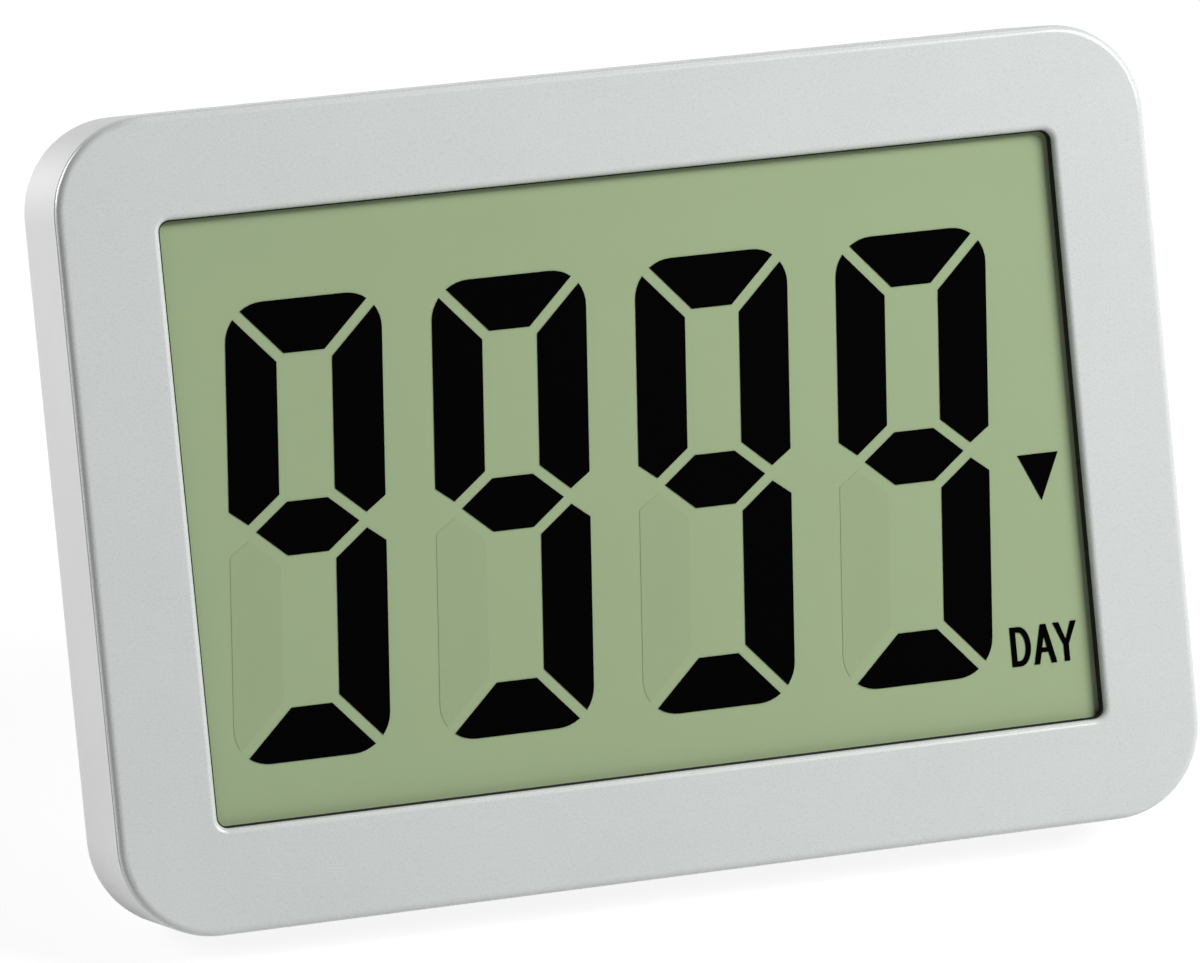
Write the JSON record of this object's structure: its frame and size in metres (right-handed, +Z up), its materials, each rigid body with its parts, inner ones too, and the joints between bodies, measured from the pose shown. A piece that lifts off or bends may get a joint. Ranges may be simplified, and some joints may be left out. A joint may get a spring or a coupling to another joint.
{
  "type": "countdown timer",
  "caption": "Desk countdown timer: a leaning flat case with a large segment display in front, and a fold-out stand, buttons, magnets and battery door behind.",
  "frame": {"origin": "on the floor under the middle of the standing object's box", "axes": "+Z up, +X to the right as seen from the front, +Y from the display towards the stand"},
  "size_m": [0.12, 0.0434, 0.0858],
  "materials": {
    "case_plastic": "satin moulded, fine texture",
    "gasket_foam": "matte foam",
    "lcd_film": "matte grey-green",
    "lcd_trace": "matte, slightly darker grey-green",
    "lcd_segment": "matte black",
    "lcd_glass": "clear",
    "lcd_seal": "cured epoxy",
    "reflector": "satin film",
    "holder_plastic": "plain moulded",
    "screw_steel": "zinc plated",
    "zebra_rubber": "layered rubber",
    "board_laminate": "solder mask",
    "epoxy_black": "cured epoxy",
    "crystal_can": "drawn can",
    "capacitor_ceramic": "fired",
    "switch_plastic": "moulded",
    "stem_plastic": "moulded",
    "button_plastic": "satin moulded",
    "cell_sleeve": "plain sleeve over a metal can",
    "contact_steel": "nickel plated",
    "lead_sleeve": "soft sleeve",
    "foot_rubber": "matte",
    "magnet_nickel": "nickel plated"
  },
  "bodies": {
    "case": {"front_bezel": "case_plastic", "rear_cover": "case_plastic", "display_gasket": "gasket_foam", "lcd_polarizer": "lcd_film", "lcd_front_glass": "lcd_glass", "lcd_seal": "lcd_seal", "lcd_rear_glass": "lcd_glass", "lcd_reflector": "reflector", "lcd_segments": "lcd_segment", "lcd_unlit_segments": "lcd_trace", "display_holder": "holder_plastic", "holder_screws": "screw_steel", "zebra_connector": "zebra_rubber", "circuit_board": "board_laminate", "board_screws": "screw_steel", "chip_blob": "epoxy_black", "crystal": "crystal_can", "capacitors": "capacitor_ceramic", "key_switches": "switch_plastic", "battery_cell": "cell_sleeve", "battery_spring": "contact_steel", "spring_plate": "contact_steel", "positive_contact": "contact_steel", "battery_lead": "lead_sleeve", "magnets": "magnet_nickel", "case_screws": "screw_steel"},
    "stand": {"stand": "case_plastic", "stand_foot": "foot_rubber"},
    "battery_door": {"battery_door": "case_plastic"},
    "set_button": {"button_set": "button_plastic", "switch_stem_set": "stem_plastic"},
    "up_button": {"button_up": "button_plastic", "switch_stem_up": "stem_plastic"},
    "down_button": {"button_down": "button_plastic", "switch_stem_down": "stem_plastic"}
  },
  "joints": [
    {"name": "stand_fold", "type": "hinge", "parent": "case", "child": "stand", "pos_m": [0, 0.01266, 0.06069], "axis": [-1, 0, 0], "range_deg": [0, 25]},
    {"name": "door_tilt", "type": "hinge", "parent": "case", "child": "battery_door", "pos_m": [0.038, -0.00145, 0.01123], "axis": [-1, 0, 0], "range_deg": [0, 45]},
    {"name": "set_press", "type": "slide", "parent": "case", "child": "set_button", "axis": [0, -0.9527, 0.304], "range_m": [0, 0.0005], "stiffness_N_per_m": 2000},
    {"name": "up_press", "type": "slide", "parent": "case", "child": "up_button", "axis": [0, -0.9527, 0.304], "range_m": [0, 0.0005], "stiffness_N_per_m": 2000},
    {"name": "down_press", "type": "slide", "parent": "case", "child": "down_button", "axis": [0, -0.9527, 0.304], "range_m": [0, 0.0005], "stiffness_N_per_m": 2000}
  ]
}
